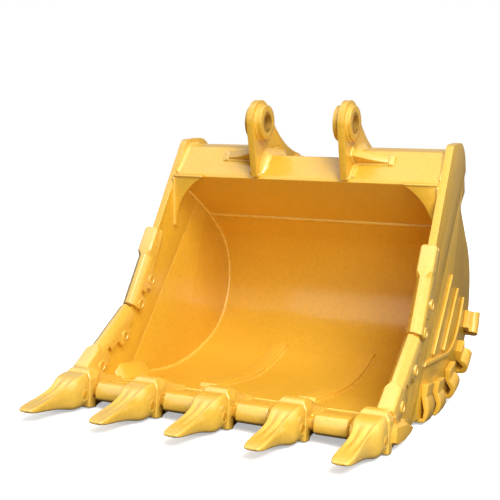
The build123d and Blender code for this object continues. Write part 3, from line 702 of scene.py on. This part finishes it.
class Lathe:
    """Turned details gathered in one mesh, each turned about an axis along x."""

    def __init__(self):
        self.vertices, self.faces = [], []

    def turn(self, to_body, centre, x, way, profile, steps=32):
        """A turned profile of (radius, height), standing on x and growing in direction `way`."""
        first = len(self.vertices)
        for radius, lift in profile:
            for k in range(steps):
                y, z = step(centre, 360 * k / steps, radius)
                self.vertices.append(to_body(x + way * lift, y, z))
        for i in range(len(profile) - 1):
            a, b = first + i * steps, first + (i + 1) * steps
            for k in range(steps):
                n = (k + 1) % steps
                face = (a + k, a + n, b + n, b + k)
                self.faces.append(face if way > 0 else face[::-1])

    def finish(self, name, slot, replaced=(), material=None):
        mesh = bpy.data.meshes.new(name)
        mesh.from_pydata([place(*v) for v in self.vertices], [], self.faces)
        return finished(name, mesh, slot, replaced, material, sharp=40)


# Profiles of (radius, height)
LUG = [(36, -14), (35, 0), (31, 4), (25, 5), (22, 4), (20, -3), (17, -4)]
PIN_END = [(17.5, -14), (17.5, 0), (16, 2), (13, 2.4), (11, 0), (5, -1), (0.01, -1)]
DIMPLE = [(3.6, -1), (3.4, 0.8), (2.0, 0.9), (1.8, -3), (0.01, -3.2)]
PIN_RIM = [(28, -2), (27, 4), (24, 6), (20, 6), (18, 3), (16.5, -1)]


def tooth_pins():
    """A lug on each cheek of a tooth, and the end of its retaining pin with two dimples."""
    lugs, retainers = Lathe(), Lathe()
    for middle in TOOTH_POSITIONS:
        def to_tooth(x, y, z, middle=middle):
            return on_tooth(middle, x, y, z)
        for way in (1, -1):
            lugs.turn(to_tooth, (-50, -4), 73 * way, way, LUG)
            retainers.turn(to_tooth, (-50, 0), 75.5 * way, way, PIN_END)
            for offset in (-7, 7):
                retainers.turn(to_tooth, (-50 + offset * 0.3, offset), 75.5 * way, way, DIMPLE, 12)
    lugs.finish("tooth_lugs", "tooth_paint")
    retainers.finish("tooth_retainer_ends", "pin_paint")


def cutter_pin_rims():
    """Raised rims round the side cutters' pins, on both faces of each side."""
    rims = Lathe()
    for top, foot, first, pins in CUTTER_PINS:
        angle = degrees(atan2(foot[1] - top[1], foot[0] - top[0]))
        start = step(step(FRONT_KINK, angle, first), angle - 90, CUTTER_NOSE)
        for down, rear in pins:
            centre = step(step(start, angle, down), angle + 90, rear)
            outer = side_x(centre[0]) + BAR_THICK + CUTTER_OUTER
            inner = side_x(centre[0]) - CUTTER_INNER
            for _, way in SIDES:
                rims.turn(as_it_is, centre, outer * way, way, PIN_RIM)
                rims.turn(as_it_is, centre, inner * way, -way, PIN_RIM)
    rims.finish("cutter_pin_rims", "cast_paint")


tooth_pins()
cutter_pin_rims()
for number, middle in enumerate(TOOTH_POSITIONS, 1):
    tooth(number, middle)

# ---- camera, floor and light -------------------------------------------------------------------

def studio_camera():
    yaw, pitch = radians(25.098), radians(8.940)
    ahead = place(-sin(yaw) * cos(pitch), cos(yaw) * cos(pitch), -sin(pitch)).normalized()
    right = place(cos(yaw), sin(yaw), 0).normalized()
    up = right.cross(ahead)
    camera = bpy.data.objects.new("camera", bpy.data.cameras.new("camera"))
    scene.collection.objects.link(camera)
    camera.data.sensor_width = 36
    camera.data.lens = 70.04
    turn = Matrix((right, up, -ahead)).transposed().to_4x4()
    camera.matrix_world = Matrix.Translation(place(2012.2, -4972.8, 139.0)) @ turn
    scene.camera = camera


def studio_floor():
    """Pale to the camera, dark to every other ray, so that it throws little light back up."""
    ground = bpy.data.meshes.new("ground")
    bm = bmesh.new()
    bmesh.ops.create_grid(bm, x_segments=8, y_segments=8, size=60)
    bm.to_mesh(ground)
    bm.free()
    material = bpy.data.materials.new("pale_floor")
    material.use_nodes = True
    tree = material.node_tree
    shader = tree.nodes["Principled BSDF"]
    shader.inputs["Roughness"].default_value = 0.7
    shader.inputs["Specular IOR Level"].default_value = 0.2
    coords = node(tree, "ShaderNodeTexCoord", -900, 0).outputs["Object"]
    mottle = noise_node(tree, coords, 1.5, 4.0, -700, 0)
    tone = ramp(tree, mottle.outputs["Fac"],
                [(0.3, (0.90, 0.90, 0.89, 1)), (0.7, (0.93, 0.93, 0.92, 1))], -500, 0)
    seen = node(tree, "ShaderNodeLightPath", -500, 300)
    mix = node(tree, "ShaderNodeMix", -250, 100, data_type="RGBA")
    mix.inputs["A"].default_value = (0.08, 0.078, 0.075, 1)
    tree.links.new(seen.outputs["Is Camera Ray"], mix.inputs["Factor"])
    tree.links.new(tone.outputs["Color"], mix.inputs["B"])
    tree.links.new(mix.outputs["Result"], shader.inputs["Base Color"])
    shader.inputs["Emission Color"].default_value = (1, 1, 1, 1)
    glow = node(tree, "ShaderNodeMath", -250, 300, operation="MULTIPLY")
    glow.inputs[1].default_value = 0.45
    tree.links.new(seen.outputs["Is Camera Ray"], glow.inputs[0])
    tree.links.new(glow.outputs["Value"], shader.inputs["Emission Strength"])
    ground.materials.append(material)
    stage_floor = bpy.data.objects.new("ground", ground)
    stage_floor.location.z = cad_box[0][2]
    scene.collection.objects.link(stage_floor)


def studio_world():
    """White to the camera; dim to the paint's own colour; to its gloss, bright in front and above."""
    world = bpy.data.worlds.new("studio")
    scene.world = world
    world.use_nodes = True
    tree = world.node_tree
    back = tree.nodes["Background"]
    coords = node(tree, "ShaderNodeTexCoord", -900, 0)
    split = node(tree, "ShaderNodeSeparateXYZ", -700, 0)
    tree.links.new(coords.outputs["Generated"], split.inputs["Vector"])
    soft = ramp(tree, split.outputs["Z"],
                [(0.0, (0.06, 0.06, 0.06, 1)), (0.25, (0.16, 0.16, 0.17, 1)), (1.0, (0.60, 0.60, 0.60, 1))],
                -500, 0)
    bright = ramp(tree, split.outputs["Z"],
                  [(0.0, (0.8, 0.8, 0.8, 1)), (0.2, (2.0, 2.0, 2.0, 1)), (0.6, (2.2, 2.2, 2.2, 1)),
                   (1.0, (3.0, 3.0, 3.0, 1))], -500, -300)
    behind = ramp(tree, split.outputs["Y"],
                  [(0.0, (1, 1, 1, 1)), (0.45, (0.22, 0.22, 0.22, 1))], -500, -550)
    front = node(tree, "ShaderNodeMix", -250, -300, data_type="RGBA", blend_type="MULTIPLY")
    front.inputs["Factor"].default_value = 1.0
    tree.links.new(bright.outputs["Color"], front.inputs["A"])
    tree.links.new(behind.outputs["Color"], front.inputs["B"])
    seen = node(tree, "ShaderNodeLightPath", -500, 300)
    mirror = node(tree, "ShaderNodeMix", -350, 0, data_type="RGBA")
    tree.links.new(seen.outputs["Is Glossy Ray"], mirror.inputs["Factor"])
    tree.links.new(soft.outputs["Color"], mirror.inputs["A"])
    tree.links.new(front.outputs["Result"], mirror.inputs["B"])
    mix = node(tree, "ShaderNodeMix", -250, 100, data_type="RGBA")
    mix.inputs["B"].default_value = (1, 1, 1, 1)
    tree.links.new(seen.outputs["Is Camera Ray"], mix.inputs["Factor"])
    tree.links.new(mirror.outputs["Result"], mix.inputs["A"])
    tree.links.new(mix.outputs["Result"], back.inputs["Color"])
    back.inputs["Strength"].default_value = 1.0


def studio_lights():
    """A broad soft key from the front, right and above, and a smaller one for the left side's inside."""
    sun = bpy.data.objects.new("key", bpy.data.lights.new("key", "SUN"))
    sun.data.energy = 2.5
    sun.data.angle = radians(32)
    sun.rotation_euler = Vector((-0.48, 0.54, -0.69)).to_track_quat("-Z", "Y").to_euler()
    scene.collection.objects.link(sun)

    side_light = bpy.data.objects.new("side_light", bpy.data.lights.new("side_light", "AREA"))
    side_light.data.energy = 64
    side_light.data.shape = "DISK"
    side_light.data.size = 1.8
    side_light.location = place(2000, -2600, 500)
    aim = place(-785, -350, -950) - side_light.location
    side_light.rotation_euler = aim.to_track_quat("-Z", "Y").to_euler()
    scene.collection.objects.link(side_light)


studio_camera()
studio_floor()
studio_world()
studio_lights()
scene.view_settings.view_transform = "Standard"
